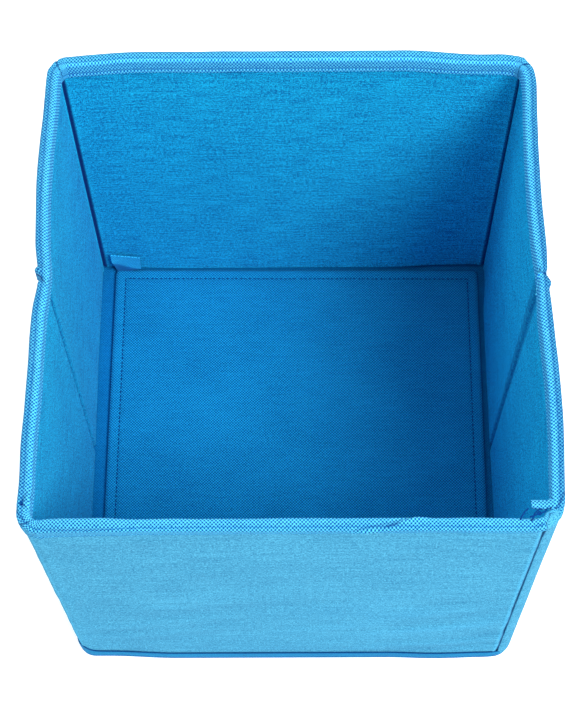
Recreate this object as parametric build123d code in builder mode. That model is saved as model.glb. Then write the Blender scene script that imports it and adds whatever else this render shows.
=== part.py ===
"""Collapsible square fabric storage bin, in millimetres.

+X is the bin's right, +Y its back and +Z up. The origin is the middle of its footprint on the floor.
Cloth covers stiff board panels. The front and back walls are one panel each. Each side wall is two panels
with a cloth crease between them, so that the side walls fold inward and the front wall moves to the back.
A loose covered board stiffens the bottom, and a woven tape binds the rim.
"""

import os

from build123d import *

# Overall size
WIDTH = 300.0  # left to right over the rim binding
DEPTH = 306.0  # front to back over the rim binding
HEIGHT = 288.0  # floor to the top of the rim binding

# What a wall is made of, from its outer face inward: tape, cloth, board, cloth, tape
TAPE = 1.2
CLOTH = 0.7
PANEL_BOARD = 3.2
WALL = 2 * TAPE + 2 * CLOTH + PANEL_BOARD
CORNER_ROUND = 4.5  # upright outer corners
RIM_ROUND = 2.5  # the tape's fold over the rim

# Rim binding
BINDING_DROP = 13.0  # height of tape that shows on each face
LAYER_TOP = HEIGHT - TAPE - 1.5  # cloth and board end here, inside the tape's fold
THREAD = 0.4  # how deep the stitching sinks into the tape
THREAD_HEIGHT = 0.8
SEAM_HEIGHT = HEIGHT - BINDING_DROP / 2
SEAM_END = 8.0  # the seam is a straight run up to this near a wall's rounded end
OVERLAP_LENGTH = 22.0  # where the tape's two ends lie over each other, by the front right corner
OVERLAP_RUN = (WIDTH - SEAM_END - OVERLAP_LENGTH, WIDTH - SEAM_END)
OVERLAP_SKIN = 0.6

# Bottom
BASE_CLOTH = 0.8
BASE_LIP = 5.4  # the base cloth turns up this far under the walls' feet
WALL_FOOT = 5.9  # the folding walls start here, above the loose base board
FOOT_STRIP = 0.6  # the base cloth's edge, sewn up the outside of each wall
FOOT_STRIP_TOP = 16.0

# Folds
HINGE_GAP = 0.3  # the hinge lines stand this far off the faces that meet when folded
CORNER_GAP = HINGE_GAP + 0.1  # between a side panel and the front or back wall
CREASE_CLOTH_GAP = 2.0  # from the crease's line to each side panel's cloth
CREASE_BOARD_GAP = 4.5  # from the crease's line to each side panel's board

# Loose base board
LOOSE_WIDTH = 274.5
LOOSE_DEPTH = 284.0
LOOSE_BOARD = 3.2
LOOSE_CLOTH = 0.6
LOOSE_X = 1.3  # it lies a little off centre
LOOSE_TURN = -0.4  # degrees
LOOSE_ROUND = 5.0
LOOSE_SEAM_INSET = 8.0
LOOSE_SEAM_WIDTH = 0.8
LOOSE_BOTTOM = BASE_CLOTH
LOOSE_TOP = LOOSE_BOTTOM + 2 * LOOSE_CLOTH + LOOSE_BOARD

# Pull tab on the base board
TAB_WIDTH = 21.0
TAB_HEIGHT = 17.0
TAB_THICKNESS = 1.8
TAB_FROM_LEFT = 9.5

# Each wall's plane: x runs along the wall, y goes into the bin from the wall's outer face
FRONT = Plane(origin=(-WIDTH / 2, -DEPTH / 2, 0), x_dir=(1, 0, 0), z_dir=(0, 0, 1))
RIGHT = Plane(origin=(WIDTH / 2, -DEPTH / 2, 0), x_dir=(0, 1, 0), z_dir=(0, 0, 1))
BACK = Plane(origin=(WIDTH / 2, DEPTH / 2, 0), x_dir=(-1, 0, 0), z_dir=(0, 0, 1))
LEFT = Plane(origin=(-WIDTH / 2, DEPTH / 2, 0), x_dir=(0, -1, 0), z_dir=(0, 0, 1))

# Side panels run from a corner to the crease, as (wall's plane, start, end along the wall)
CORNER_END = WALL + CORNER_GAP
CREASE = DEPTH / 2
SIDE_PANELS = {
    "left_back": (LEFT, CORNER_END, CREASE - CREASE_CLOTH_GAP),
    "left_front": (LEFT, CREASE + CREASE_CLOTH_GAP, DEPTH - CORNER_END),
    "right_front": (RIGHT, CORNER_END, CREASE - CREASE_CLOTH_GAP),
    "right_back": (RIGHT, CREASE + CREASE_CLOTH_GAP, DEPTH - CORNER_END),
}


def save(part, name):
    """Writes one finished piece as its own file."""
    part.label = name
    export_step(part, f"parts/{name}.step")


def layer(plane, start, end, near, far, low, high):
    """A flat layer of a wall, from start to end along it and from near to far below its outer face."""
    with BuildPart() as sheet:
        with BuildSketch(plane.offset(low)):
            with Locations(((start + end) / 2, (near + far) / 2)):
                Rectangle(end - start, far - near)
        extrude(amount=high - low)
    return sheet.part


def rounded_run(plane, near, far, low, high):
    """A layer of a whole wall, near to far below its outer face, with its two outer corners rounded."""
    with BuildPart() as run:
        with BuildSketch(plane.offset(low)) as outline:
            with Locations((WIDTH / 2, (near + far) / 2)):
                Rectangle(WIDTH - 2 * near, far - near)
            fillet(outline.vertices().group_by(Axis.Y)[0], CORNER_ROUND - near)
        extrude(amount=high - low)
    return run.part


def wrapped_layer(plane, near, thickness, far, low, high):
    """Cloth over a whole wall's outer face, which turns the two rounded corners and ends at depth far."""
    with BuildPart() as sheet:
        add(rounded_run(plane, near, far, low, high))
        add(rounded_run(plane, near + thickness, far + thickness, low, high), mode=Mode.SUBTRACT)
    return sheet.part


def rim_block(plane, start, end, inset, rounded_ends):
    """The outer shape of the rim binding along a wall, or a smaller one that stays inset within it."""
    low = HEIGHT - BINDING_DROP
    high = HEIGHT - inset
    with BuildPart() as block:
        add(layer(plane, start, end, inset, WALL - inset, low, high))
        long_edges = block.edges().group_by(Axis.Z)[-1].filter_by(Axis(plane.origin, plane.x_dir))
        fillet(long_edges, RIM_ROUND - inset)
        if rounded_ends:
            add(rounded_run(plane, inset, WALL - inset, low, high), mode=Mode.INTERSECT)
    return block.part


def seam_runs(plane, start, end):
    """The thread of the binding's seam: one run on the outer face and one on the inner face."""
    low = SEAM_HEIGHT - THREAD_HEIGHT / 2
    high = SEAM_HEIGHT + THREAD_HEIGHT / 2
    outer = layer(plane, start, end, 0, THREAD, low, high)
    inner = layer(plane, start, end, WALL - THREAD, WALL, low, high)
    return outer, inner


def save_binding(name, plane, start, end, rounded_ends, overlap_run=None):
    """The tape over one wall's rim and the thread that sews it down. The tape is thinner under an overlap."""
    seam_inset = SEAM_END if rounded_ends else 0
    threads = seam_runs(plane, start + seam_inset, end - seam_inset)
    with BuildPart() as tape:
        add(rim_block(plane, start, end, 0, rounded_ends))
        if overlap_run:
            add(layer(plane, *overlap_run, 0, WALL, HEIGHT - BINDING_DROP, HEIGHT), mode=Mode.SUBTRACT)
            add(rim_block(plane, *overlap_run, OVERLAP_SKIN, False))
        add(rim_block(plane, start, end, TAPE, rounded_ends), mode=Mode.SUBTRACT)
        add(threads, mode=Mode.SUBTRACT)
    save(tape.part, f"{name}_rim_binding")
    with BuildPart() as seam:
        add(threads)
    save(seam.part, f"{name}_binding_thread")
    if overlap_run:
        with BuildPart() as overlap:
            add(rim_block(plane, *overlap_run, 0, False))
            add(rim_block(plane, *overlap_run, OVERLAP_SKIN, False), mode=Mode.SUBTRACT)
            add(threads, mode=Mode.SUBTRACT)
        save(overlap.part, "binding_overlap")


def save_side_panel(name, plane, start, end):
    """Half of a side wall: a board between its cover and its lining, with its rim and foot."""
    faces_crease = CREASE_BOARD_GAP - CREASE_CLOTH_GAP
    board_start = start + (faces_crease if start > CREASE else CORNER_GAP)
    board_end = end - (faces_crease if end < CREASE else CORNER_GAP)
    cover_face = TAPE + CLOTH
    lining_face = cover_face + PANEL_BOARD
    save(layer(plane, start, end, TAPE, cover_face, WALL_FOOT, LAYER_TOP), f"{name}_cover")
    save(layer(plane, board_start, board_end, cover_face, lining_face, WALL_FOOT, LAYER_TOP), f"{name}_board")
    save(layer(plane, start, end, lining_face, lining_face + CLOTH, WALL_FOOT, LAYER_TOP), f"{name}_lining")
    save(layer(plane, start, end, TAPE - FOOT_STRIP, TAPE, WALL_FOOT, FOOT_STRIP_TOP), f"{name}_foot_strip")
    save_binding(name, plane, start, end, rounded_ends=False)


def save_whole_wall(name, plane, overlap_run=None):
    """The front or back wall: one board in a cover that turns both corners, with its lining, rim and foot."""
    cover_face = TAPE + CLOTH
    lining_face = cover_face + PANEL_BOARD
    foot_face = TAPE - FOOT_STRIP
    cloth_end = WIDTH - cover_face
    save(wrapped_layer(plane, TAPE, CLOTH, lining_face, WALL_FOOT, LAYER_TOP), f"{name}_cover")
    save(rounded_run(plane, cover_face, lining_face, WALL_FOOT, LAYER_TOP), f"{name}_board")
    lining = layer(plane, cover_face, cloth_end, lining_face, lining_face + CLOTH, WALL_FOOT, LAYER_TOP)
    save(lining, f"{name}_lining")
    save(wrapped_layer(plane, foot_face, FOOT_STRIP, WALL, WALL_FOOT, FOOT_STRIP_TOP), f"{name}_foot_strip")
    save_binding(name, plane, 0, WIDTH, rounded_ends=True, overlap_run=overlap_run)


def save_base_cloth():
    """The cloth under the bin, turned up all round below the walls' feet."""
    edge = TAPE - FOOT_STRIP
    with BuildPart() as cloth:
        with BuildSketch(Plane.XY):
            RectangleRounded(WIDTH - 2 * edge, DEPTH - 2 * edge, CORNER_ROUND - edge)
        extrude(amount=BASE_LIP)
        with BuildSketch(Plane.XY.offset(BASE_CLOTH)):
            inner = 2 * (edge + BASE_CLOTH)
            RectangleRounded(WIDTH - inner, DEPTH - inner, CORNER_ROUND - edge - BASE_CLOTH)
        extrude(amount=BASE_LIP, mode=Mode.SUBTRACT)
    save(cloth.part, "base_cloth")


def loose_slab(inset, low, high):
    """A slab of the loose base board's outline, which stays inset within its edges."""
    turned = Plane(origin=(LOOSE_X, 0, low), x_dir=Vector(1, 0, 0).rotate(Axis.Z, LOOSE_TURN), z_dir=(0, 0, 1))
    with BuildPart() as slab:
        with BuildSketch(turned):
            RectangleRounded(LOOSE_WIDTH - 2 * inset, LOOSE_DEPTH - 2 * inset, LOOSE_ROUND)
        extrude(amount=high - low)
    return slab.part


def save_loose_base():
    """The loose base board: a board in a cloth sleeve, its topstitching and its pull tab."""
    board_low = LOOSE_BOTTOM + LOOSE_CLOTH
    board_high = LOOSE_TOP - LOOSE_CLOTH
    board = loose_slab(LOOSE_CLOTH, board_low, board_high)
    save(board, "base_board")

    thread_low = LOOSE_TOP - THREAD
    with BuildPart() as seam:
        add(loose_slab(LOOSE_SEAM_INSET, thread_low, LOOSE_TOP))
        add(loose_slab(LOOSE_SEAM_INSET + LOOSE_SEAM_WIDTH, thread_low, LOOSE_TOP), mode=Mode.SUBTRACT)
    save(seam.part, "base_board_thread")

    with BuildPart() as sleeve:
        add(loose_slab(0, board_low, LOOSE_TOP))
        add(board, mode=Mode.SUBTRACT)
        add(seam.part, mode=Mode.SUBTRACT)
    save(sleeve.part, "base_board_cover")
    save(loose_slab(0, LOOSE_BOTTOM, board_low), "base_board_backing")

    tab_x = LOOSE_X - LOOSE_WIDTH / 2 + TAB_FROM_LEFT + TAB_WIDTH / 2
    tab_y = LOOSE_DEPTH / 2 - LOOSE_CLOTH - TAB_THICKNESS / 2
    with BuildPart() as tab:
        with BuildSketch(Plane.XY.offset(LOOSE_TOP)):
            with Locations((tab_x, tab_y)):
                Rectangle(TAB_WIDTH, TAB_THICKNESS)
        extrude(amount=TAB_HEIGHT)
        fillet(tab.edges().filter_by(Axis.X).group_by(Axis.Z)[-1], TAB_THICKNESS * 0.45)
    save(tab.part, "pull_tab")


os.makedirs("parts", exist_ok=True)

for panel_name, (panel_plane, panel_start, panel_end) in SIDE_PANELS.items():
    save_side_panel(panel_name, panel_plane, panel_start, panel_end)

save_whole_wall("front", FRONT, OVERLAP_RUN)
save_whole_wall("back", BACK)

save_base_cloth()
save_loose_base()
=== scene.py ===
import math

import bmesh
import bpy
import numpy as np
from mathutils import Matrix, Vector, noise


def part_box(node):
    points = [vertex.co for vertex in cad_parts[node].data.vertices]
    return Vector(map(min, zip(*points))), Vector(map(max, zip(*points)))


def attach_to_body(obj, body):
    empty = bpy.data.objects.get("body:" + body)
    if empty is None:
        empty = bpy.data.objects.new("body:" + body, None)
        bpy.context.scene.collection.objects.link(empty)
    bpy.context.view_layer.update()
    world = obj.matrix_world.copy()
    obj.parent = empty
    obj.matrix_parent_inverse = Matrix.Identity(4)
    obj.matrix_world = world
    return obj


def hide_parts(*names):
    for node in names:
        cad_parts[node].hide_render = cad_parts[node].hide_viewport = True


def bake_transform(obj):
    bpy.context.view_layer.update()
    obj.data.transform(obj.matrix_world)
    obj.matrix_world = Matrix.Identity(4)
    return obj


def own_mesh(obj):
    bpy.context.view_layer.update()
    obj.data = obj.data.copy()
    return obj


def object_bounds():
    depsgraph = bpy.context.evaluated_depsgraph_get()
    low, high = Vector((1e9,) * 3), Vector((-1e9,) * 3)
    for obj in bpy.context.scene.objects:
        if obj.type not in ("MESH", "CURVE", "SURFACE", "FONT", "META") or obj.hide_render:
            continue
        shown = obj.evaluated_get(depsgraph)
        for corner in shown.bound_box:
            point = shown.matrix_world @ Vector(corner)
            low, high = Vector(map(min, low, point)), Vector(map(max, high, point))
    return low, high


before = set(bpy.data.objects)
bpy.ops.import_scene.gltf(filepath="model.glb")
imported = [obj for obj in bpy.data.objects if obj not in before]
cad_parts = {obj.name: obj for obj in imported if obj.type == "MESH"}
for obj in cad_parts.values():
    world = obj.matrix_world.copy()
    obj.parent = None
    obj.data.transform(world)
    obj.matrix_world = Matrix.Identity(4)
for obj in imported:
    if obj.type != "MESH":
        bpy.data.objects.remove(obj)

MM = 0.001


def corner_lists(box):
    return [[float(c) for c in corner] for corner in box]


cad_box = corner_lists(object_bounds())
WIDTH = cad_box[1][0] - cad_box[0][0]
DEPTH = cad_box[1][1] - cad_box[0][1]
HEIGHT = cad_box[1][2]
HALF_X = WIDTH / 2
HALF_Y = DEPTH / 2

# Depths into a wall, from the tape's outer face inward, read from the CAD layers
COVER_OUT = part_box("front_cover")[0].y + HALF_Y
LINING_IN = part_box("front_lining")[1].y + HALF_Y
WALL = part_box("front_rim_binding")[1].y + HALF_Y
BINDING_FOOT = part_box("front_rim_binding")[0].z
WALL_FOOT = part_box("left_back_cover")[0].z
STRIP_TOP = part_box("front_foot_strip")[1].z
LAYER_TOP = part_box("front_cover")[1].z
FLOOR_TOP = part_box("base_board_cover")[1].z
CLOTH = 0.7 * MM
TAPE = COVER_OUT

CORNER = 12 * MM  # the walls' rounded upright corners, as the cloth shows them

# The way round the wall, from the middle of the back, past the left wall, the front and the right wall
core_x = HALF_X - CORNER
core_y = HALF_Y - CORNER
bend = CORNER * math.pi / 2
runs = [core_x, bend, 2 * core_y, bend, 2 * core_x, bend, 2 * core_y, bend, core_x]
TURNS = np.concatenate([[0], np.cumsum(runs)])
# At each of those turns: which way is outward, and which side of the middle it lies on
HEADINGS = np.radians([90, 90, 180, 180, 270, 270, 360, 360, 450, 450])
LEFT_RIGHT = np.array([0, -1, -1, -1, -1, 1, 1, 1, 1, 0])
FRONT_BACK = np.array([1, 1, 1, -1, -1, -1, -1, 1, 1, 1])
LOOP = TURNS[-1]
LEFT_MIDDLE = (TURNS[2] + TURNS[3]) / 2
FRONT_MIDDLE = (TURNS[4] + TURNS[5]) / 2
RIGHT_MIDDLE = (TURNS[6] + TURNS[7]) / 2
CORNERS = [(TURNS[k] + TURNS[k + 1]) / 2 for k in (1, 3, 5, 7)]


def hump(value, middle, reach, flat=0.0):
    """A smooth hump of height 1, flat on top for a way, which then ends at the reach on each side."""
    t = np.clip((np.abs(value - middle) - flat) / reach, 0, 1)
    return (1 + np.cos(t * math.pi)) / 2


def step_up(value, middle, softness):
    """A smooth step from 0 to 1."""
    t = np.clip((value - middle) / softness * 0.5 + 0.5, 0, 1)
    return t * t * (3 - 2 * t)


def field(a, b, scale_a, scale_b, seed):
    """Smooth noise over two coordinate grids."""
    a, b = np.broadcast_arrays(a, b)
    flat = [noise.noise(Vector((u * scale_a, v * scale_b, seed))) for u, v in zip(a.ravel(), b.ravel())]
    return np.array(flat).reshape(a.shape)


# Where the walls stand out from flat: place on the way round, flat half length, fall-off, mm at the rim and
# mm at the foot
BOWS = [
    (LEFT_MIDDLE - 70 * MM, 0, 62 * MM, 1.9, 0.4),
    (LEFT_MIDDLE + 112 * MM, 0, 52 * MM, 1.5, 0.5),
    (LEFT_MIDDLE + 70 * MM, 0, 70 * MM, 0.5, 0.3),
    (LEFT_MIDDLE - 2 * MM, 0, 26 * MM, -2.0, 0),
    (CORNERS[0], 0, 20 * MM, -1.0, 0),
    (CORNERS[1] - 9 * MM, 0, 22 * MM, 1.3, 0),
    (RIGHT_MIDDLE - 80 * MM, 0, 75 * MM, 2.3, 0.5),
    (RIGHT_MIDDLE + 70 * MM, 10 * MM, 70 * MM, -1.8, 0),
    (CORNERS[2], 0, 16 * MM, -2.7, -1.0),
    (CORNERS[3], 0, 20 * MM, -2.2, 0),
    (12 * MM, 80 * MM, 50 * MM, 3.0, -2.0),
    (RIGHT_MIDDLE, 100 * MM, 40 * MM, 0, -2.3),
    (FRONT_MIDDLE, 80 * MM, 50 * MM, -0.5, 1.8),
    (FRONT_MIDDLE + 122 * MM, 4 * MM, 55 * MM, 0, 1.9),
]


def bow(along, z):
    """How far the whole wall stands out from its flat plane."""
    up = z / HEIGHT
    total = 0
    for middle, flat, reach, rim, foot in BOWS:
        away = np.abs(along - middle)
        away = np.minimum(away, LOOP - away)
        total = total + hump(away, 0, reach, flat) * (foot + (rim - foot) * up)
    return total * MM


def place(along, depth, z):
    """Points on the walls: along the way round, depth in from the outer face, and height."""
    along, depth, z = np.broadcast_arrays(along, depth, z)
    angle = np.interp(along, TURNS, HEADINGS)
    x = np.interp(along, TURNS, core_x * LEFT_RIGHT)
    y = np.interp(along, TURNS, core_y * FRONT_BACK)
    reach = CORNER - depth + bow(along, z)
    return np.stack([x + reach * np.cos(angle), y + reach * np.sin(angle), z], axis=-1)


# ---------------------------------------------------------------- materials

def node_maker(material):
    tree = material.node_tree

    def make(kind, **values):
        node = tree.nodes.new(kind)
        for key, value in values.items():
            if key.startswith("in_"):
                slot_name = key[3:].replace("_", " ")
                node.inputs[int(slot_name) if slot_name.isdigit() else slot_name].default_value = value
            else:
                setattr(node, key, value)
        return node

    return make, tree.links.new


def new_material(name):
    material = bpy.data.materials.new(name)
    material.use_nodes = True
    material.node_tree.nodes.clear()
    return material


def streaks(make, link, uv, scale_u, scale_v, detail=2.0):
    """Noise drawn out into threads, finer one way than the other."""
    mapping = make("ShaderNodeMapping")
    mapping.inputs["Scale"].default_value = (scale_u, scale_v, 1)
    tex = make("ShaderNodeTexNoise", in_Scale=1.0, in_Detail=detail, in_Roughness=0.6)
    link(uv, mapping.inputs["Vector"])
    link(mapping.outputs[0], tex.inputs["Vector"])
    return tex.outputs["Fac"]


def math_node(make, link, operation, a, b=None):
    node = make("ShaderNodeMath", operation=operation)
    for socket, value in zip(node.inputs, (a, b)):
        if value is None:
            continue
        if isinstance(value, (int, float)):
            socket.default_value = value
        else:
            link(value, socket)
    return node.outputs[0]


def ramp(make, link, fac, stops):
    node = make("ShaderNodeValToRGB")
    elements = node.color_ramp.elements
    while len(elements) < len(stops):
        elements.new(0.5)
    for element, (at, colour) in zip(elements, stops):
        element.position = at
        element.color = (*colour, 1)
    link(fac, node.inputs["Fac"])
    return node.outputs["Color"]


def summed(make, link, start, parts):
    """start plus each (socket, weight) pair's value times its weight."""
    total = None
    for socket, weight in parts:
        node = make("ShaderNodeMath", operation="MULTIPLY_ADD", in_1=weight)
        link(socket, node.inputs[0])
        if total is None:
            node.inputs[2].default_value = start
        else:
            link(total, node.inputs[2])
        total = node.outputs[0]
    return total


def woven(name, dark, light, slub, contrast, pitch=0.9 * MM, dots=0.0, bump=0.3, patch=0.5):
    """Woven cloth: threads of uneven shade both ways, dots of weave and broad, soft patches.

    slub is how fine its streaks are, (along, across) the threads, in marks per metre. The mesh's per-point
    attribute of painted shading paints shade into the cloth above zero, and a painted highlight where it is
    below zero.
    """
    material = new_material(name)
    make, link = node_maker(material)
    uv = make("ShaderNodeUVMap", uv_map="cloth").outputs["UV"]
    long_streaks = streaks(make, link, uv, slub[0], slub[1])
    fine_streaks = streaks(make, link, uv, slub[0] * 3, slub[1] * 1.5, 1.0)
    cross_streaks = streaks(make, link, uv, slub[1], slub[0] * 1.5)
    threads = streaks(make, link, uv, slub[0] * 0.1, slub[1] * 0.6, 1.0)
    patches = streaks(make, link, uv, 16, 22, 3.0)
    separate = make("ShaderNodeSeparateXYZ")
    link(uv, separate.inputs[0])
    turn = 2 * math.pi / pitch
    waves = [math_node(make, link, "SINE", math_node(make, link, "MULTIPLY", way, turn))
             for way in separate.outputs[:2]]
    weave = math_node(make, link, "MULTIPLY", *waves)
    parts = [(long_streaks, contrast * 0.5), (fine_streaks, contrast * 0.8), (cross_streaks, contrast * 0.25),
             (threads, contrast * 0.25), (patches, patch)]
    middle = 0.5 - sum(weight for _, weight in parts) * 0.5
    shade = summed(make, link, middle, parts + [(weave, dots)])
    colour = ramp(make, link, shade, [(0.0, dark), (1.0, light)])
    # Painted shading: above zero mixes towards a dark colour for painted shade, below zero towards a brighter
    # copy of the cloth for a painted highlight
    painted_shading = make("ShaderNodeAttribute", attribute_name="painted_shading").outputs["Fac"]
    shaded = (dark[0] * 0.3, dark[1] * 0.2, dark[2] * 0.5)
    bright_ends = [(0.0, [c * 2.2 for c in dark]), (1.0, [min(c * 1.5, 1) for c in light])]
    bright = ramp(make, link, shade, bright_ends)
    for way, end in (("darken", shaded), ("lighten", bright)):
        sign = 1.0 if way == "darken" else -1.0
        amount = make("ShaderNodeMath", operation="MULTIPLY", in_1=sign, use_clamp=True)
        link(painted_shading, amount.inputs[0])
        mix = make("ShaderNodeMix", data_type="RGBA")
        if way == "lighten":
            link(end, mix.inputs[7])
        else:
            mix.inputs[7].default_value = (*end, 1)
        link(amount.outputs[0], mix.inputs[0])
        link(colour, mix.inputs[6])
        colour = mix.outputs[2]
    relief = summed(make, link, 0.0, [(weave, 0.6), (long_streaks, 1.8), (fine_streaks, 1.4)])
    bumps = make("ShaderNodeBump", in_Strength=bump, in_Distance=0.0004)
    link(relief, bumps.inputs["Height"])
    shader = make("ShaderNodeBsdfPrincipled", in_Roughness=0.95, in_Sheen_Weight=0.02, in_Sheen_Roughness=0.5,
                  in_Specular_IOR_Level=0.03)
    link(colour, shader.inputs["Base Color"])
    link(bumps.outputs[0], shader.inputs["Normal"])
    link(shader.outputs[0], make("ShaderNodeOutputMaterial").inputs["Surface"])
    return material


COVER_CLOTH = woven("outer_cloth", (0.016, 0.18, 0.35), (0.085, 0.42, 0.64), (280, 1300), 7.0)
LINING_CLOTH = woven("lining_cloth", (0.0005, 0.14, 0.41), (0.012, 0.65, 1.0), (450, 1100), 8.5)
RIM_TAPE = woven("rim_tape", (0.002, 0.08, 0.28), (0.085, 0.49, 0.75), (400, 700), 2.2, 2.1 * MM, 1.9)
STRIP_TAPE = woven("strip_tape", (0.0005, 0.09, 0.26), (0.015, 0.31, 0.60), (400, 700), 1.5, 2.0 * MM, 1.0)
BOARD_CLOTH = woven("base_board_cloth", (0.0003, 0.06, 0.20), (0.010, 0.34, 0.68), (500, 700), 1.4, 2.1 * MM,
                    0.9)
BASE_INSIDE = woven("base_cloth", (0.0005, 0.09, 0.28), (0.005, 0.22, 0.55), (300, 700), 1.6, 2.0 * MM, 0.6)
TAB_TAPE = woven("tab_tape", (0.002, 0.18, 0.46), (0.04, 0.60, 0.97), (400, 700), 1.5, 2.0 * MM, 0.8)
THREAD = woven("rim_thread", (0.003, 0.11, 0.36), (0.008, 0.19, 0.52), (900, 900), 0.6)
PALE_THREAD = woven("rim_thread_outside", (0.01, 0.20, 0.48), (0.03, 0.30, 0.60), (900, 900), 0.6)
DARK_THREAD = woven("base_board_thread", (0.001, 0.03, 0.16), (0.002, 0.055, 0.24), (900, 900), 0.6)
CHIPBOARD = woven("grey_chipboard", (0.28, 0.25, 0.21), (0.44, 0.40, 0.35), (500, 600), 2.0)


# ---------------------------------------------------------------- mesh pieces

def piece_from(name, points, faces, uv, material, painted_shading=None):
    """A mesh object. Its uv is in metres, along the threads and across them."""
    mesh = bpy.data.meshes.new(name)
    mesh.from_pydata([tuple(p) for p in points], [], faces)
    layer = mesh.uv_layers.new(name="cloth")
    index = np.zeros(len(mesh.loops), int)
    mesh.loops.foreach_get("vertex_index", index)
    layer.data.foreach_set("uv", np.asarray(uv)[index].astype(np.float32).ravel())
    # Per-point painted shading for the cloth: painted shade above zero, painted highlight below zero
    if painted_shading is not None:
        shading_data = mesh.attributes.new("painted_shading", "FLOAT", "POINT")
        shading_data.data.foreach_set("value", np.asarray(painted_shading, np.float32).ravel())
    edit = bmesh.new()
    edit.from_mesh(mesh)
    bmesh.ops.recalc_face_normals(edit, faces=edit.faces)
    edit.to_mesh(mesh)
    edit.free()
    mesh.polygons.foreach_set("use_smooth", [True] * len(mesh.polygons))
    mesh.set_sharp_from_angle(angle=math.radians(50))
    mesh.materials.append(material)
    obj = bpy.data.objects.new(name, mesh)
    bpy.context.scene.collection.objects.link(obj)
    return obj


def shell(name, outside, inside, uv, material, ring=False, fill=False, painted_shading=None):
    """A closed sheet between two grids of points.

    A ring joins its last row to its first; fill closes its last column.
    """
    rows, columns = outside.shape[:2]
    lift = rows * columns
    points = np.concatenate([outside.reshape(-1, 3), inside.reshape(-1, 3)])
    faces = []
    row_pairs = [(i, (i + 1) % rows) for i in range(rows if ring else rows - 1)]
    for i, k in row_pairs:
        for j in range(columns - 1):
            quad = (i * columns + j, i * columns + j + 1, k * columns + j + 1, k * columns + j)
            faces.append(quad)
            faces.append(tuple(lift + q for q in reversed(quad)))
    sides = [(i * columns, k * columns) for i, k in row_pairs]
    last = [(k * columns + columns - 1, i * columns + columns - 1) for i, k in row_pairs]
    if fill:
        centre = [i * columns + columns - 1 for i in range(rows)]
        faces.append(tuple(centre))
        faces.append(tuple(lift + q for q in reversed(centre)))
    else:
        sides += last
    if not ring:
        sides += [(j + 1, j) for j in range(columns - 1)]
        end = (rows - 1) * columns
        sides += [(end + j, end + j + 1) for j in range(columns - 1)]
    faces += [(a, b, b + lift, a + lift) for a, b in sides]
    flat_uv = np.concatenate([uv.reshape(-1, 2), uv.reshape(-1, 2)])
    shading_data = None if painted_shading is None else np.concatenate([np.ravel(painted_shading), np.ravel(painted_shading)])
    return piece_from(name, points, faces, flat_uv, material, shading_data)


def stations(start, end, step, close_to=()):
    """Places along the way round, closer together near corners and creases."""
    values = [start]
    while values[-1] < end - 1e-6:
        near = min([abs(values[-1] - c) for c in close_to] or [1])
        size = min(step, 0.7 * MM) if near < 6 * MM else (step / 3 if near < 16 * MM else step)
        values.append(min(values[-1] + size, end))
    if values[-1] - values[-2] < step / 10:
        values.pop(-2)
    return np.array(values)


FLAP_EDGE = TURNS[5] + 1.5 * MM  # the covers' lapped seam, by the front right corner
CLOSE_TO = [*CORNERS, LEFT_MIDDLE, RIGHT_MIDDLE, FLAP_EDGE]

# The cloth and tape of each wall are split in the middle of the panels, where nothing bends
panel = (TURNS[3] - TURNS[2]) / 4
SPANS = {
    "back_left": (0, LEFT_MIDDLE - panel),
    "left_crease": (LEFT_MIDDLE - panel, LEFT_MIDDLE + panel),
    "front_left": (LEFT_MIDDLE + panel, FRONT_MIDDLE),
    "front_right": (FRONT_MIDDLE, TURNS[6]),
    "right_front": (TURNS[6], RIGHT_MIDDLE - panel),
    "right_crease": (RIGHT_MIDDLE - panel, RIGHT_MIDDLE + panel),
    "back_right": (RIGHT_MIDDLE + panel, LOOP),
}


def attach(obj, span):
    """Makes a piece of the front_right or right_front span follow the body that it lies on; the other spans'
    pieces only get their transform baked into the mesh.
    """
    if span == "back_left":
        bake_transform(obj)
    elif span == "left_crease":
        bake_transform(obj)
    elif span == "front_left":
        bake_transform(obj)
    elif span == "front_right":
        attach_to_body(obj, "front_wall")
    elif span == "right_front":
        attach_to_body(obj, "right_front_panel")
    elif span == "right_crease":
        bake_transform(obj)
    elif span == "back_right":
        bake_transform(obj)


# ---------------------------------------------------------------- wall cloth

def wrinkles(along, z):
    """Soft slanting wrinkles, most of them low on the front by its corners."""
    slant = field(z - along * 0.30, along * 0.9 + z * 0.30, 62, 9, 7.7)
    lower_right = hump(along, TURNS[5] - 0.045, 0.11) * hump(z, 0.07, 0.11)
    lower_left = hump(along, TURNS[4] + 0.05, 0.09) * hump(z, 0.09, 0.10)
    return slant * (0.3 + 1.6 * lower_right + 0.7 * lower_left)


def cover_relief(along, z):
    """Relief of the outer cloth, outward, none under the tape and the foot strip."""
    free = np.clip((BINDING_FOOT + 6 * MM - z) / 0.02, 0, 1) * np.clip((z - STRIP_TOP) / 0.02, 0, 1)
    broad = field(along, z, 9, 7, 3.1) * 0.35
    edges = 0.45 * hump(along, CORNERS[1] + 1 * MM, 2 * MM) + 0.5 * hump(along, FLAP_EDGE - 3 * MM, 1.8 * MM)
    groove = 0.7 * hump(along, FLAP_EDGE - 0.6 * MM, 1.3 * MM)
    return (free * (0.4 + broad + 0.8 * wrinkles(along, z)) + edges - groove) * MM


def lining_depth(along, z):
    """How far in the lining's face stands, with a channel at the creases and upright corners."""
    crease = hump(along, LEFT_MIDDLE, 3.4 * MM) * 2.0 + hump(along, RIGHT_MIDDLE, 3.6 * MM) * 2.5
    corner = sum(hump(along, c, 3.6 * MM) for c in CORNERS) * 2.6
    free = np.clip((BINDING_FOOT - z) / 0.01, 0, 1)
    soft = field(along, z, 11, 8, 21.0) * 0.22
    return LINING_IN - (crease + corner + 0.25 + soft) * MM * (0.35 + 0.65 * free) * free


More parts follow.
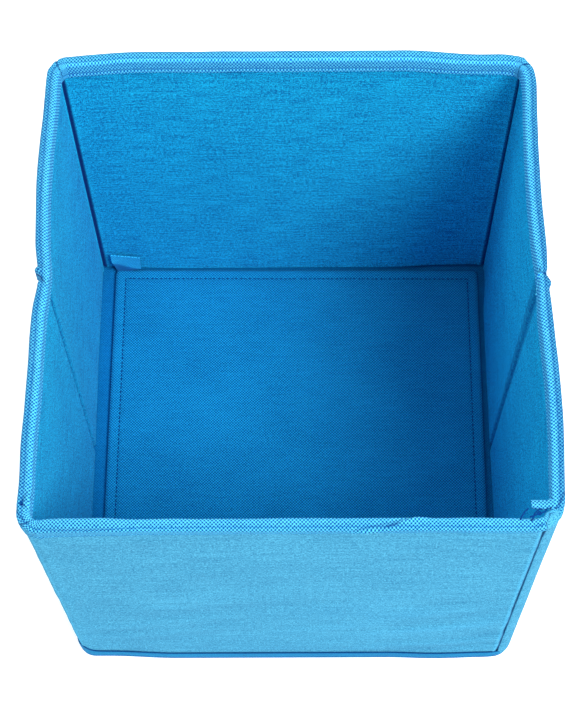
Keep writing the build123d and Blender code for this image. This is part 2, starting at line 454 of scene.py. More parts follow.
def lining_painted_shading(along, z):
    """Painted shade at the bottom of the creases and upright corners, painted highlights on their edges."""
    upper = step_up(z, 0.15, 0.22)
    left = (0.35 + 0.45 * upper) * hump(along, LEFT_MIDDLE, 4 * MM)
    left = left - 0.1 * upper * hump(along, LEFT_MIDDLE - 8 * MM, 5 * MM)
    channel = 0.4 * hump(along, RIGHT_MIDDLE + 1 * MM, 2.2 * MM, (1.2 + 7 * upper) * MM)
    middle = left + channel + 0.5 * hump(along, RIGHT_MIDDLE - 0.5 * MM, 2.4 * MM)
    back_left = 0.95 * hump(along, CORNERS[0] - 0.5 * MM, 3.6 * MM, 0.8 * MM)
    back_left = back_left - 0.3 * hump(along, CORNERS[0] + 5 * MM, 2.2 * MM)
    back_right = 0.95 * hump(along, CORNERS[3], 4.5 * MM)
    front = 0.8 * hump(along, CORNERS[1], 3 * MM) + 0.8 * hump(along, CORNERS[2], 3 * MM)
    return middle + back_left + back_right + front + 0 * z


def cover_painted_shading(along, z):
    """Painted shade in the lapped seam's groove and along the foot strip's top, painted highlights on the
    upright edges and the seam's fold, painted shade and highlight following the wrinkles, and random darker
    patches low on the front.
    """
    seam = 0.9 * hump(along, FLAP_EDGE - 0.5 * MM, 1.1 * MM)
    seam = seam - 0.35 * hump(along, FLAP_EDGE - 3 * MM, 1.8 * MM)
    left = -0.3 * hump(along, CORNERS[1] + 1.5 * MM, 1.8 * MM) - 0.12 * hump(along, TURNS[4] - 4 * MM, 6 * MM)
    foot = 0.35 * hump(z, STRIP_TOP + 0.2 * MM, 1.6 * MM)
    # Random darker patches, low on the front by its left corner
    dark_patches = 0.12 * np.clip(field(along, z, 40, 90, 90.0), 0, 1) * hump(along, TURNS[4] + 0.06, 0.09)
    # The wrinkles get painted shade in their troughs and a painted highlight on their ridges
    return seam + left + foot + dark_patches - 0.16 * wrinkles(along, z)


heights = np.concatenate([np.linspace(WALL_FOOT, 20 * MM, 9), np.linspace(20 * MM, LAYER_TOP, 54)[1:]])
cover_pieces = {}
lining_pieces = {}
for span, (start, end) in SPANS.items():
    along = stations(start, end, 5 * MM, CLOSE_TO)[:, None]
    z = heights[None, :]
    uv = np.stack(np.broadcast_arrays(along, z), axis=-1)
    face = COVER_OUT - cover_relief(along, z)
    cover = shell(f"cover_{span}", place(along, face, z), place(along, face + CLOTH, z), uv, COVER_CLOTH,
                  painted_shading=cover_painted_shading(along, z))
    cover_pieces[span] = cover
    face = lining_depth(along, z)
    lining = shell(f"lining_{span}", place(along, face, z), place(along, face - CLOTH, z), uv, LINING_CLOTH,
                   painted_shading=lining_painted_shading(along, z))
    lining_pieces[span] = lining

# ---------------------------------------------------------------- boards in the walls

GAP = 2.6 * MM
BOARD_RUNS = {
    "back_left_half": (0, TURNS[1], "base", "back_board"),
    "back_right_half": (TURNS[8], LOOP, "base", "back_board"),
    "left_back": (TURNS[2], LEFT_MIDDLE - GAP * 1.8, "left_back_panel", "left_back_board"),
    "left_front": (LEFT_MIDDLE + GAP * 1.8, TURNS[3], "left_front_panel", "left_front_board"),
    "front": (TURNS[4], TURNS[5], "front_wall", "front_board"),
    "right_front": (TURNS[6], RIGHT_MIDDLE - GAP * 1.8, "right_front_panel", "right_front_board"),
    "right_back": (RIGHT_MIDDLE + GAP * 1.8, TURNS[7], "right_back_panel", "right_back_board"),
}
board_out = COVER_OUT + CLOTH + 0.15 * MM
board_in = LINING_IN - CLOTH - 0.55 * MM
for name, (start, end, body, node) in BOARD_RUNS.items():
    along = stations(start, end, 8 * MM)[:, None]
    z = np.linspace(WALL_FOOT + 0.5 * MM, LAYER_TOP - 1 * MM, 24)[None, :]
    uv = np.stack(np.broadcast_arrays(along, z), axis=-1)
    board = shell(f"panel_{name}", place(along, board_out, z), place(along, board_in, z), uv, CHIPBOARD)
    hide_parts(node)
    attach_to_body(board, body)

# ---------------------------------------------------------------- rim tape

RIM_ROUND = 2.5 * MM


def tape_line():
    """The tape's folded section: (depth, height) points from its outer edge over the rim to its inner one."""
    drop = HEIGHT - RIM_ROUND
    points = [(0.0, z) for z in np.linspace(BINDING_FOOT, drop, 15)[:-1]]
    for a in np.linspace(math.pi, math.pi / 2, 7):
        points.append((RIM_ROUND + RIM_ROUND * math.cos(a), drop + RIM_ROUND * math.sin(a)))
    points += [(x, HEIGHT) for x in np.linspace(RIM_ROUND, WALL - RIM_ROUND, 4)[1:-1]]
    for a in np.linspace(math.pi / 2, 0, 7):
        points.append((WALL - RIM_ROUND + RIM_ROUND * math.cos(a), drop + RIM_ROUND * math.sin(a)))
    points += [(WALL, z) for z in np.linspace(drop, BINDING_FOOT, 15)[1:]]
    return np.array(points)


LINE = tape_line()
steps = np.diff(LINE, axis=0)
LINE_AT = np.concatenate([[0], np.cumsum(np.hypot(steps[:, 0], steps[:, 1]))])
TAPE_WIDTH = LINE_AT[-1]
tangent = np.gradient(LINE, axis=0)
tangent /= np.linalg.norm(tangent, axis=1)[:, None]
LINE_OUT = np.stack([-tangent[:, 1], tangent[:, 0]], axis=-1)


TOP_ROW = TAPE_WIDTH / 2
INNER_ROW = TAPE_WIDTH - 3.2 * MM
OUTER_ROW = 2.2 * MM


def top_row(along):
    """Where the seam over the rim runs across the tape: nearer the outside in front and the inside behind."""
    front = hump(along, FRONT_MIDDLE, 40 * MM, 125 * MM)
    low = hump(along, TURNS[4] + 20 * MM, 26 * MM, 8 * MM)
    behind = hump(np.minimum(along, LOOP - along), 0, 40 * MM, 125 * MM)
    shift = -0.6 + 2.0 * behind - 1.2 * front - 2.4 * low
    return TOP_ROW + shift * MM + field(along, along * 0, 25, 1, 2.2) * 0.5 * MM


def outer_drop(along):
    """How far the tape's outer leg comes down, as a share: less on the front, least by its right corner."""
    front = step_up(along, TURNS[4] - 5 * MM, 25 * MM) * (1 - step_up(along, TURNS[6] + 10 * MM, 25 * MM))
    slope = np.clip((along - TURNS[4]) / (TURNS[5] - TURNS[4]), 0, 1)
    return 1 - front * (0.33 + 0.45 * np.sqrt(slope))


# Small folds of the tape: from (along, across) to (along, across), half width, how deep, and how much painted
# shade (below zero, a painted highlight), all in mm but the last. Places along are from the corner or crease,
# and across from the rim's top, inward.
FOLDS = [
    (CORNERS[1], -22, 3, -14, -1, 1.0, 0.7, 0.8),
    (CORNERS[1], -14, -1, -10, 5, 1.0, 0.6, 0.7),
    (CORNERS[1], -22, 9, -15, 2, 0.9, 0.6, 0.6),
    (CORNERS[1], -12, -4, -4, -1, 0.9, 0.5, 0.6),
    (CORNERS[1], -3, -6, 1, 6, 1.0, 0.8, 0.7),
    (CORNERS[1], 3, -8, 4, 8, 0.8, -0.6, -0.2),
    (CORNERS[0], -4, -6, 5, 7, 0.9, 0.7, 0.7),
    (CORNERS[0], 3, 3, 4, 14, 1.2, 0.9, 0.9),
    (CORNERS[0], -9, 4, -2, 5, 0.8, -0.4, -0.3),
    (CORNERS[3], -6, -5, 2, 4, 0.9, 0.7, 0.8),
    (CORNERS[3], 5, -6, -2, 5, 0.8, -0.5, -0.3),
    (CORNERS[3], 0, 4, 0, 14, 1.6, 1.0, 0.95),
    (LEFT_MIDDLE, -6, -8, -2, -2, 0.9, 0.7, 0.7),
    (LEFT_MIDDLE, -2, -2, 3, 3, 0.9, 0.5, 0.5),
    (LEFT_MIDDLE, 0, 4, 0, 15, 0.9, 0.4, 0.4),
    (RIGHT_MIDDLE, 3, 2, -6, 14, 0.8, -0.9, -0.9),
    (RIGHT_MIDDLE, 6, 3, -2, 14, 1.3, 1.0, 0.9),
    (RIGHT_MIDDLE, 2, -6, 4, 3, 0.9, 0.7, 0.7),
    (FRONT_MIDDLE, 34, -4, 64, 3, 0.7, 0.6, 0.45),
    (FRONT_MIDDLE, 51, -2, 58, 0, 0.9, 0.8, 0.8),
    (CORNERS[2], 20, -4, 10, 1, 0.7, 0.5, 0.7),
    (CORNERS[2], 10, 1, 7, 4.5, 0.7, 0.5, 0.9),
    (CORNERS[2], -9, 5, -16, 3, 0.8, 0.6, 0.8),
    (CORNERS[2], -16, 3, -22, 4.5, 0.8, 0.5, 0.6),
    (CORNERS[2], -15, -3, -10, -1, 0.7, 0.4, 0.4),
]


def fold_lines(along, across):
    """The small folds' depth in mm and their painted shade (below zero, a painted highlight), at each point
    of the tape.
    """
    depth, dark = 0, 0
    for corner, a0, c0, a1, c1, half, deep, shade in FOLDS:
        a = (along - corner) / MM
        c = (across - TOP_ROW) / MM
        da, dc = a1 - a0, c1 - c0
        t = np.clip(((a - a0) * da + (c - c0) * dc) / (da * da + dc * dc), 0, 1)
        away = np.hypot(a - a0 - t * da, c - c0 - t * dc)
        depth = depth + deep * hump(away, 0, half * 1.4)
        dark = dark + shade * hump(away, 0, half * 1.3)
    return depth, dark


def tape_puff(along, across):
    """How far the tape's face stands proud of its flat fold."""
    seam = 0.75 * hump(across, top_row(along), 1.6 * MM) + 0.45 * hump(across, INNER_ROW, 1.3 * MM)
    seam = seam + 0.3 * hump(across, OUTER_ROW, 1.2 * MM)
    puff = 0.35 - seam + 0.25 * field(along, across, 60, 110, 5.5)
    rumple = 0
    for k, corner in enumerate(CORNERS):
        rumple = rumple + hump(along, corner, 14 * MM) * field(along, across, 170, 100, 30.0 + k) * 0.9
    outside = 1 - step_up(across, TOP_ROW, 5 * MM)
    knobs = 1.9 * hump(along, LEFT_MIDDLE - 7 * MM, 3 * MM)
    knobs = knobs - 1.4 * hump(along, LEFT_MIDDLE - 1.5 * MM, 3 * MM)
    knobs = knobs + 1.5 * hump(along, RIGHT_MIDDLE - 2.5 * MM, 4 * MM)
    knobs = knobs - 1.0 * hump(along, RIGHT_MIDDLE + 4 * MM, 3 * MM)
    across_twist = (along - FRONT_MIDDLE - 48 * MM) * 0.28 - (across - TOP_ROW + 2 * MM)
    twist = 0.9 * step_up(across_twist, 0, 0.7 * MM) * hump(across_twist, 0, 6 * MM)
    twist = twist * hump(along, FRONT_MIDDLE + 52 * MM, 12 * MM, 14 * MM)
    return (puff + rumple + knobs * outside + twist - fold_lines(along, across)[0]) * MM


def tape_point(along, across, lift=0.0):
    """A point on the tape's face, across from its outer edge."""
    depth = np.interp(across, LINE_AT, LINE[:, 0])
    z = np.interp(across, LINE_AT, LINE[:, 1])
    out = np.stack([np.interp(across, LINE_AT, LINE_OUT[:, k]) for k in (0, 1)], axis=-1)
    shoulder = HEIGHT - RIM_ROUND
    pinch = hump(along, RIGHT_MIDDLE, 26 * MM) + 0.5 * hump(along, LEFT_MIDDLE, 16 * MM)
    depth = depth + (1 - 2 * depth / WALL) * 0.9 * MM * pinch
    leg = (across < TAPE_WIDTH / 2) & (z < shoulder)
    z = np.where(leg, shoulder - (shoulder - z) * outer_drop(along), z)
    proud = tape_puff(along, across) + lift
    edge = field(along, along * 0, 45, 1, 9.0) * 0.5 * MM
    hem = np.clip(1 - across / (8 * MM), 0, 1) + np.clip(1 - (TAPE_WIDTH - across) / (8 * MM), 0, 1)
    bunch = hump(along, TURNS[4] + 22 * MM, 22 * MM, 8 * MM) * np.clip(z - shoulder + 4 * MM, 0, 1) * 0.6
    return place(along, depth + out[..., 0] * proud, z + out[..., 1] * proud + edge * hem + bunch)


for span, (start, end) in SPANS.items():
    along = stations(start, end, 2.4 * MM, CLOSE_TO)[:, None]
    across = LINE_AT[None, :]
    a, c = np.broadcast_arrays(along, across)
    thick = TAPE * (0.45 + 0.55 * np.clip(np.minimum(c, TAPE_WIDTH - c) / (1.2 * MM), 0, 1))
    inner_leg = np.maximum(c - TOP_ROW - 3 * MM, 0)
    uv = np.stack([a, c - inner_leg * 0.4], axis=-1)
    top = tape_point(a, c)
    under = tape_point(a, c, -thick)
    # Painted shading of the tape: painted shade at its cut edges, in the stitch rows' grooves, in its folds
    # and on the side walls' outer half; a painted highlight on its top and inner leg
    hem = 0.35 * (np.minimum(c, TAPE_WIDTH - c) < 0.4 * MM)
    pale = 0.08 * step_up(c, INNER_ROW + 1.6 * MM, 1 * MM) + 0.7 * step_up(c, TOP_ROW + 2 * MM, 2 * MM)
    groove = 0.3 * hump(c, top_row(a), 0.8 * MM) + 0.3 * hump(c, INNER_ROW, 0.7 * MM)
    by_side = 0.25 * hump(a, LEFT_MIDDLE, 30 * MM, 120 * MM) + 0.36 * hump(a, RIGHT_MIDDLE, 30 * MM, 120 * MM)
    shaded_half = groove + (1 - step_up(c, TOP_ROW - 0.5 * MM, 1.6 * MM)) * by_side
    painted_shading = fold_lines(a, c)[1] + hem - pale + shaded_half
    tape = shell(f"tape_{span}", top, under, uv, RIM_TAPE, painted_shading=painted_shading)
    attach(tape, span)

# ---------------------------------------------------------------- stitches


# A dash's thickness, and how far it sinks into the cloth, from one end to the other
DASH_SIZES = (0.25, 0.8, 1.0, 0.8, 0.25)
DASH_SINKS = (0.9, 0.2, 0, 0.2, 0.9)


def stitches(name, path, length, spacing, dash, radius, material):
    """A row of thread dashes. path gives points and outward directions for places along it."""
    points, faces, uv = [], [], []
    count = int(length / spacing)
    sides = 6
    for k in range(count):
        middle = (k + 0.5) * spacing
        local = np.array([middle + dash * f for f in (-0.5, -0.42, 0.0, 0.42, 0.5)])
        line, out = path(local)
        heading = line[-1] - line[0]
        heading /= np.linalg.norm(heading)
        for r, (p, o, size, sink) in enumerate(zip(line, out, DASH_SIZES, DASH_SINKS)):
            side = np.cross(heading, o)
            base = len(points)
            for q in range(sides):
                t = 2 * math.pi * q / sides
                points.append(p + (side * math.cos(t) + o * math.sin(t)) * radius * size - o * radius * sink)
                uv.append((local[r], radius * t))
            if r:
                for q in range(sides):
                    n = (q + 1) % sides
                    faces.append((base - sides + q, base - sides + n, base + n, base + q))
        first = len(points) - 5 * sides
        faces.append(tuple(first + q for q in reversed(range(sides))))
        faces.append(tuple(len(points) - sides + q for q in range(sides)))
    return piece_from(name, np.array(points), faces, np.array(uv), material)


def rim_stitch_path(start, across):
    def path(local):
        along = start + local
        spot = across(along) if callable(across) else np.full_like(along, across)
        line = tape_point(along, spot, 0.12 * MM)
        lifted = tape_point(along, spot, 0.12 * MM + 1 * MM)
        out = (lifted - line) / MM
        return line, out / np.linalg.norm(out, axis=1)[:, None]
    return path


for span, (start, end) in SPANS.items():
    for row, across in (("outer", OUTER_ROW), ("top", top_row), ("inner", INNER_ROW)):
        thread = stitches(f"stitches_{row}_{span}", rim_stitch_path(start, across), end - start, 2.9 * MM,
                          2.1 * MM, 0.22 * MM, PALE_THREAD if row == "outer" else THREAD)
        attach(thread, span)

# ---------------------------------------------------------------- lapped seam by the front right corner

def flap_grid(thickness):
    """The lapped cloth: up the corner below the tape, then out over the tape's end and onto the rim."""
    columns = []
    for way in np.linspace(0, 1, 23):
        along = FLAP_EDGE + way * (TURNS[6] - FLAP_EDGE)
        tuck = float(step_up(way, 0.8, 0.25))
        rows = []
        for z in np.linspace(WALL_FOOT + 1 * MM, HEIGHT - RIM_ROUND, 54):
            over = float(step_up(z, BINDING_FOOT + 3 * MM, 8 * MM)) * (1 - tuck)
            soft = 0.15 * float(field(np.array(along), np.array(z), 40, 14, 60.0))
            edge = 0.5 * max(0, 1 - way * 7) ** 2
            rows.append((along, COVER_OUT - (0.95 - edge + soft) * MM - over * 1.1 * MM, z))
        outside = rows[-1][1]
        for t in np.linspace(0.15, 1, 7):
            turn = t * math.pi / 2
            rows.append((along, outside + (1 - math.cos(turn)) * RIM_ROUND, HEIGHT - RIM_ROUND
                         + math.sin(turn) * (RIM_ROUND - outside * (1 - tuck))))
        reach = float(np.interp(way, [0, 0.15, 0.5, 1], [0.5, 2.2, 3.6, 1.5])) * MM
        rows += [(along, rows[-1][1] + reach * t, rows[-1][2] - 0.2 * MM * t * t) for t in (0.33, 0.66, 1.0)]
        columns.append(rows)
    grid = np.array(columns)
    sink = np.clip((grid[..., 2] - HEIGHT + RIM_ROUND) / RIM_ROUND, 0, 1)
    points = place(grid[..., 0], grid[..., 1] + thickness * (1 - sink), grid[..., 2] - thickness * sink)
    return grid, points


flap_at, flap_face = flap_grid(0.0)
# Painted shade along the lapped cloth's end on the rim and up its seam edge near the top
flap_painted_shade = np.zeros(flap_at.shape[:2])
flap_painted_shade[:, -1] = 0.8
flap_painted_shade[0, 50:] = 0.8
flap_uv = flap_at[..., [0, 2]].copy()
flap_uv[..., 1] += np.maximum(flap_at[..., 1] - COVER_OUT, 0)
flap = shell("corner_flap", flap_face, flap_grid(0.5 * MM)[1], flap_uv, COVER_CLOTH, painted_shading=flap_painted_shade)
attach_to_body(flap, "front_wall")

# The rim tape's cut end, folded in across the corner and sewn down: its back and front edges, in mm right of,
# behind and above the rim's inner corner
inner_x = HALF_X - WALL
inner_y = HALF_Y - WALL
TAIL = [
    ((1.2, 11.5, -0.6), (1.0, 6.5, -0.2)),
    ((-2.5, 10.6, -1.6), (-4.6, 4.8, -1.0)),
    ((-11.3, 11.0, -2.6), (-11.0, 6.0, -2.0)),
]


def tail_spot(spot):
    return Vector((inner_x + spot[0] * MM, -inner_y + spot[1] * MM, HEIGHT + spot[2] * MM))


def tail_grid(drop):
    rows = []
    for t in np.linspace(0, 2, 13):
        k = min(int(t), 1)
        back = tail_spot(TAIL[k][0]).lerp(tail_spot(TAIL[k + 1][0]), t - k)
        front = tail_spot(TAIL[k][1]).lerp(tail_spot(TAIL[k + 1][1]), t - k)
        row = []
        for u in np.linspace(0, 1, 7):
            p = back.lerp(front, u)
            row.append((p.x, p.y, p.z - drop + 0.5 * MM * math.sin(u * math.pi)))
        rows.append(row)
    return np.array(rows)


tail_top = tail_grid(0.0)
# The tape's end: slightly lighter all over, with painted shade along its front edge
tail_painted_shading = -0.1 + np.zeros(tail_top.shape[:2])
tail_painted_shading[:, -1] = 0.7
tail = shell("tape_end", tail_top, tail_grid(0.8 * MM), tail_top[..., :2].copy(), RIM_TAPE, painted_shading=tail_painted_shading)
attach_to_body(tail, "front_wall")
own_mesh(tail)


def thread_runs(name, runs, radius, material):
    """Sewn-down thread along smooth lines through a few points."""
    points, faces, uv = [], [], []
    sides = 6
    for run in runs:
        knots = np.array(run)
        spots = np.linspace(0, len(knots) - 1, 6 * len(knots))
        line = np.stack([np.interp(spots, range(len(knots)), knots[:, k]) for k in range(3)], axis=-1)
        line[1:-1] = (line[:-2] + 2 * line[1:-1] + line[2:]) / 4
        heading = np.gradient(line, axis=0)
        heading /= np.linalg.norm(heading, axis=1)[:, None]
        first = len(points)
        for p, h in zip(line, heading):
            side = np.cross(h, (0, 0, 1))
            side /= np.linalg.norm(side)
            top = np.cross(side, h)
            for q in range(sides):
                t = 2 * math.pi * q / sides
                points.append(p + (side * math.cos(t) + top * math.sin(t)) * radius)
                uv.append((p[0], radius * t))
        for r in range(len(line) - 1):
            base = first + r * sides
            for q in range(sides):
                n = (q + 1) % sides
                faces.append((base + q, base + n, base + sides + n, base + sides + q))
        faces.append(tuple(first + q for q in reversed(range(sides))))
        faces.append(tuple(len(points) - sides + q for q in range(sides)))
    return piece_from(name, np.array(points), faces, np.array(uv), material)


def by_corner(*spots):
    """Points given in mm in from the rim's inner corner, in x and in y, and down from the rim's top."""
    return [(inner_x - x * MM, -inner_y + y * MM, HEIGHT - down * MM) for x, y, down in spots]


tack = thread_runs("tape_end_stitches", [
    by_corner((13.0, 6.0, 2.2), (15.0, 4.2, 1.4), (17.1, 0.6, 0.2), (18.0, -1.5, -0.4)),
    by_corner((5.9, 5.6, 1.2), (8.0, 4.6, 1.0), (9.7, 3.0, 1.0), (11.2, -0.6, 0.2), (12.0, -2.2, -0.4)),
    by_corner((6.2, 2.8, 1.0), (7.2, 1.6, 0.5), (8.6, 2.4, 0.6), (7.4, 3.9, 1.0), (6.2, 2.9, 0.8)),
    by_corner((3.0, 5.4, 1.0), (4.0, 3.6, 0.6), (6.4, 2.8, 0.6), (9.6, 1.6, 0.4), (12.6, 0.4, 0.2)),
], 0.42 * MM, DARK_THREAD)
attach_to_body(tack, "front_wall")
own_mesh(tack)

# ---------------------------------------------------------------- foot strip and base cloth

for span, (start, end) in SPANS.items():
    along = stations(start, end, 5 * MM, CLOSE_TO)[:, None]
    t = np.linspace(0, 1, 7)[None, :]
    top = STRIP_TOP + 7 * MM * hump(along, CORNERS[1], 15 * MM)
    z = WALL_FOOT + (top - WALL_FOOT) * t
    proud = (0.15 + 0.3 * np.sin(t * math.pi)) * MM + 0 * along
    depth = 0.6 * MM - proud
    uv = np.stack(np.broadcast_arrays(along + 0 * z, z), axis=-1)
    # Painted shade along the strip's top edge
    strip = shell(f"foot_strip_{span}", place(along, depth, z), place(along, depth + 0.6 * MM, z), uv,
                  STRIP_TAPE, painted_shading=0.8 * (t > 0.9) + 0 * z)
    attach(strip, span)

for span in SPANS:
    attach(cover_pieces[span], span)
    attach(lining_pieces[span], span)

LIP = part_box("base_cloth")[1].z


def base_section():
    """(depth, height, scale) from the lip's top edge round the foot and in under the bin."""
    points = [(0.4, LIP / MM), (0.4, 4.2), (0.55, 2.8), (1.2, 1.4), (2.4, 0.4), (4.2, 0.0), (8.0, 0.0)]
    inward = (0.93, 0.8, 0.6, 0.4, 0.2, 0.06)
    return [(d * MM, z * MM, 1.0) for d, z in points] + [(8 * MM, 0, s) for s in inward]


def swept_ring(along, section, lift):
    """The base cloth's outer or, lifted by its thickness, inner face."""
    rings = []
    for k, (depth, z, scale) in enumerate(section):
        up = np.clip(depth / (4.2 * MM), 0, 1)
        ring = place(along, depth + lift * (1 - up), z + lift * up)
        ring[:, :2] *= scale
        rings.append(ring)
    return np.stack(rings, axis=1)


around = stations(0, LOOP, 5 * MM, CORNERS)[:-1]
section = base_section()
outer = swept_ring(around, section, 0.0)
inner = swept_ring(around, section, 0.7 * MM)
uv = np.stack([outer[..., 0] + outer[..., 2], outer[..., 1] + outer[..., 2]], axis=-1)
base_sheet = shell("base_sheet", outer, inner, uv, BASE_INSIDE, ring=True, fill=True)
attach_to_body(base_sheet, "base")
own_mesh(base_sheet)
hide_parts("base_cloth")

# ---------------------------------------------------------------- loose base board

board_lo, board_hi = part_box("base_board_cover")
BOARD_TURN = math.radians(-0.4)
board_x = (board_lo.x + board_hi.x) / 2
board_y = (board_lo.y + board_hi.y) / 2 + 1.2 * MM
board_half_x = 137.25 * MM
board_half_y = 143.2 * MM


def board_loop(along, inset, z):
    """The board's rounded outline, inset by a distance."""
    radius = 3.5 * MM
    cx, cy = board_half_x - radius, board_half_y - radius
    arc = radius * math.pi / 2
    marks = np.concatenate([[0], np.cumsum([cx, arc, 2 * cy, arc, 2 * cx, arc, 2 * cy, arc, cx])])
    along = along * marks[-1]
    angle = np.interp(along, marks, HEADINGS)
    x = np.interp(along, marks, cx * LEFT_RIGHT)
    y = np.interp(along, marks, cy * FRONT_BACK)
    keep = np.minimum(1.0, (cx - (inset - radius)) / cx) if inset > radius else 1.0
    reach = max(radius - inset, 0)
    keep_y = (cy - (inset - radius)) / cy if inset > radius else 1.0
    px = x * keep + reach * np.cos(angle)
    py = y * keep_y + reach * np.sin(angle)
    turned_x = board_x + px * math.cos(BOARD_TURN) - py * math.sin(BOARD_TURN)
    turned_y = board_y + px * math.sin(BOARD_TURN) + py * math.cos(BOARD_TURN)
    return np.stack([turned_x, turned_y, z + 0 * along], axis=-1)


def board_top(inset):
    """Height of the sleeve's upper face: rolled edge, a pulled-down seam, then flat."""
    edge = 1.6 * MM * (1 - np.clip(inset / (3.2 * MM), 0, 1)) ** 2
    seam = 0.45 * MM * float(hump(np.array(inset), 8 * MM, 2.2 * MM))
    return FLOOR_TOP - edge - seam


share = np.linspace(0, 1, 361)[:-1]
seam_insets = [4.5, 6, 6.8, 7.4, 8, 8.6, 9.2, 10.2, 12, 16, 24]
insets = np.concatenate([np.linspace(0, 3.2, 6), seam_insets, np.linspace(34, 130, 10)]) * MM
upper = np.stack([board_loop(share, i, board_top(i)) for i in insets], axis=1)
skirt = board_loop(share, 0.15 * MM, 3.0 * MM)[:, None, :]
upper = np.concatenate([skirt, upper], axis=1)
wave = field(upper[..., 0], upper[..., 1], 13, 13, 40.0) * 0.12 * MM
wave[:, :2] = 0
upper[..., 2] += wave
lower = upper.copy()
lower[..., 2] -= 0.55 * MM
lower[:, 0, 2] += 0.55 * MM
centre = np.array([board_x, board_y])
lower[:, :2, :2] = centre + (lower[:, :2, :2] - centre) * (1 - 0.5 * MM / board_half_x)
uv = upper[..., :2].copy()
# Painted shade on the sleeve's outer edge and skirt; the hem inside the seam slightly lighter
edge_painted_shading = np.zeros(upper.shape[:2])
edge_painted_shading[:, :2] = 0.9
edge_painted_shading[:, 2:1 + int(np.searchsorted(insets, 7.2 * MM))] = -0.05
sleeve = shell("base_board_sleeve", upper, lower, uv, BOARD_CLOTH, ring=True, fill=True, painted_shading=edge_painted_shading)
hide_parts("base_board_cover")
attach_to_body(sleeve, "loose_base")

bottoms = np.stack([board_loop(share, i, 0.9 * MM) for i in insets], axis=1)
lip = board_loop(share, 0.15 * MM, 2.9 * MM)[:, None, :]
bottoms = np.concatenate([lip, bottoms], axis=1)
tops = bottoms.copy()
tops[..., 2] += 0.5 * MM
tops[:, 0, 2] -= 0.5 * MM
tops[:, :2, :2] = centre + (tops[:, :2, :2] - centre) * (1 - 0.5 * MM / board_half_x)
backing = shell("base_board_underside", tops, bottoms, bottoms[..., :2].copy(), BOARD_CLOTH, ring=True,
                fill=True)
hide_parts("base_board_backing")
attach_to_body(backing, "loose_base")


stiff_top = np.stack([board_loop(share, i, FLOOR_TOP - 1.3 * MM) for i in insets[5:]], axis=1)
stiff_foot = np.stack([board_loop(share, i, 1.6 * MM) for i in insets[5:]], axis=1)
stiffener = shell("base_stiffener", stiff_top, stiff_foot, stiff_top[..., :2].copy(), CHIPBOARD, ring=True,
                  fill=True)
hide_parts("base_board")
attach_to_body(stiffener, "loose_base")


def board_stitch_path(local):
    length = 2 * (2 * board_half_x + 2 * board_half_y - 4 * 8 * MM)
    line = board_loop(local / length, 8 * MM, FLOOR_TOP - 0.15 * MM)
    return line, np.tile([0.0, 0.0, 1.0], (len(local), 1))


seam_length = 4 * (board_half_x + board_half_y - 16 * MM)
board_seam = stitches("base_board_topstitch", board_stitch_path, seam_length, 3.3 * MM, 2.2 * MM, 0.42 * MM,
                      DARK_THREAD)
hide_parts("base_board_thread")
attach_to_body(board_seam, "loose_base")

# ---------------------------------------------------------------- pull tab

wall_y = HALF_Y - LINING_IN - 4.0 * MM
board_edge = board_y + board_half_y - 0.1 * MM
# The tab's folded strip: its top edge by the wall, its lower fold, and its end tucked into the board's seam
tab_x = -HALF_X
TAB_ROWS = [
    ((tab_x + 13.3 * MM, wall_y + 0.6 * MM, 30.8 * MM), (tab_x + 34.9 * MM, wall_y + 0.4 * MM, 26.4 * MM)),
    ((tab_x + 14.0 * MM, wall_y - 0.8 * MM, 22.2 * MM), (tab_x + 34.7 * MM, wall_y - 0.6 * MM, 11.2 * MM)),
    ((tab_x + 16.6 * MM, board_edge, 2.9 * MM), (tab_x + 25.0 * MM, board_edge, 2.9 * MM)),
]


def tab_grid(shift):
    """The strip's face, moved back by its thickness for the other face."""
    rows = []
    for v in np.concatenate([np.linspace(0, 0.92, 8), [0.97, 1.0, 1.03, 1.1], np.linspace(1.3, 2, 5)]):
        k = 0 if v <= 1 else 1
        f = v - k
        left = Vector(TAB_ROWS[k][0]).lerp(Vector(TAB_ROWS[k + 1][0]), f)
        right = Vector(TAB_ROWS[k][1]).lerp(Vector(TAB_ROWS[k + 1][1]), f)
        row = []
        for u in np.linspace(0, 1, 17):
            point = left.lerp(right, u)
            point.y -= 0.4 * MM * math.sin(u * 7 + v * 2) * (0.3 + 0.7 * min(v, 2 - v)) + shift
            row.append(tuple(point))
        rows.append(row)
    return np.array(rows)


tab_front = tab_grid(0.0)
tab_back = tab_grid(-0.9 * MM)
uv = np.stack([tab_front[..., 0], tab_front[..., 2]], axis=-1)
# A painted highlight on the tab's folded edge, and painted shadow on the part that goes down to the board
tab_painted_shading = np.zeros(tab_front.shape[:2])
tab_painted_shading[9:10] = -0.8
tab_painted_shading[12:] = 0.5
tab = shell("tab_loop", tab_front, tab_back, uv, TAB_TAPE, painted_shading=tab_painted_shading)
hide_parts("pull_tab")
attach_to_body(tab, "loose_base")
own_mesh(tab)

# ---------------------------------------------------------------- the CAD parts that the wall pieces replace, hidden

WALL_NODES = {
    "back_left": "back",
    "left_crease": "left_back",
    "front_left": "left_front",
    "front_right": "front",
    "right_front": "right_front",
    "right_crease": "right_back",
}
for span, node in WALL_NODES.items():
    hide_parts(f"{node}_cover")
    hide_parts(f"{node}_lining")
    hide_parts(f"{node}_rim_binding")
    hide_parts(f"{node}_foot_strip")
    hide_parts(f"{node}_binding_thread")
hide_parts("binding_overlap")


# ---------------------------------------------------------------- the thread pieces sewn onto each span, gathered into a list that nothing reads

for span, (start, end) in SPANS.items():
    sewn_on = [bpy.data.objects[f"stitches_{row}_{span}"] for row in ("outer", "top", "inner")]
    if span == "front_right":
        sewn_on += [tail, tack]

# ---------------------------------------------------------------- floor, light and camera

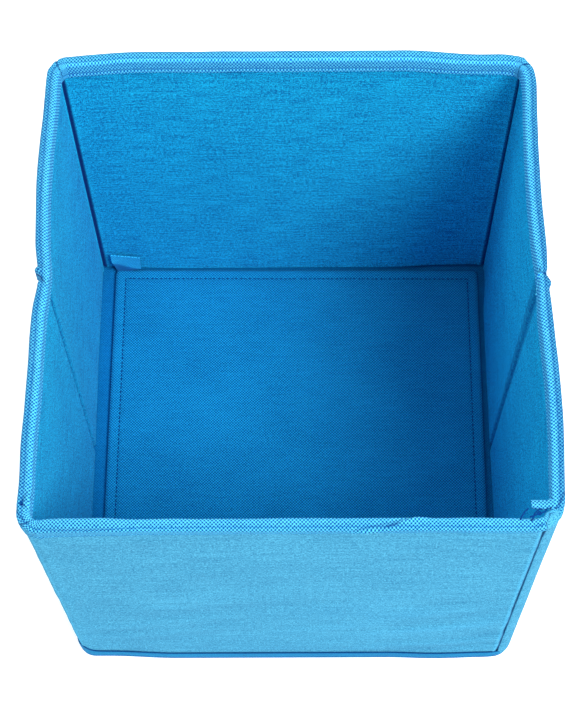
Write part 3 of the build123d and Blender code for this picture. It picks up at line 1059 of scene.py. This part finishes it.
floor_mesh = bpy.data.meshes.new("floor")
size = 3.0
floor_corners = [(-size, -size, 0), (size, -size, 0), (size, size, 0), (-size, size, 0)]
floor_mesh.from_pydata(floor_corners, [], [(0, 1, 2, 3)])
floor = bpy.data.objects.new("floor", floor_mesh)
bpy.context.scene.collection.objects.link(floor)
floor.location.z = -0.2 * MM
pale = new_material("pale_floor")
make, link = node_maker(pale)
shader = make("ShaderNodeBsdfPrincipled", in_Base_Color=(0.9, 0.9, 0.9, 1), in_Roughness=0.9,
              in_Specular_IOR_Level=0.0, in_Emission_Color=(1, 1, 1, 1), in_Emission_Strength=0.45)
link(shader.outputs[0], make("ShaderNodeOutputMaterial").inputs["Surface"])
floor_mesh.materials.append(pale)

scene = bpy.context.scene
scene.view_settings.view_transform = "Standard"
world = bpy.data.worlds.new("studio")
scene.world = world
world.use_nodes = True
world.node_tree.nodes["Background"].inputs["Color"].default_value = (1.0, 1.0, 1.0, 1)
world.node_tree.nodes["Background"].inputs["Strength"].default_value = 0.6


def soft_light(name, at, aim, size, power):
    data = bpy.data.lights.new(name, "AREA")
    data.shape = "DISK"
    data.size = size
    data.energy = power
    lamp = bpy.data.objects.new(name, data)
    lamp.location = at
    lamp.visible_camera = False
    lamp.rotation_euler = (Vector(aim) - Vector(at)).to_track_quat("-Z", "Y").to_euler()
    scene.collection.objects.link(lamp)


soft_light("key_light", (0.85, -0.8, 2.0), (0, 0, 0.1), 0.9, 51)
soft_light("top_light", (0.1, 0.0, 2.2), (0, 0, 0), 0.6, 6)
soft_light("fill_light", (-1.5, 0.3, 1.25), (0, 0, 0.2), 1.0, 12)

camera_data = bpy.data.cameras.new("camera")
camera_data.lens = 88.79
camera_data.sensor_width = 36.0
camera = bpy.data.objects.new("camera", camera_data)
pitch, yaw, roll = math.radians(66.85), math.radians(-0.732), math.radians(-0.941)
forward = Vector((math.sin(yaw) * math.cos(pitch), math.cos(yaw) * math.cos(pitch), -math.sin(pitch)))
right = Vector((math.cos(yaw), -math.sin(yaw), 0))
up = right.cross(forward)
right_rolled = right * math.cos(roll) + up * math.sin(roll)
up_rolled = up * math.cos(roll) - right * math.sin(roll)
turn = Matrix((right_rolled, up_rolled, -forward)).transposed().to_4x4()
camera.matrix_world = Matrix.Translation((0.0049, -0.4488, 1.2174)) @ turn
scene.collection.objects.link(camera)
scene.camera = camera
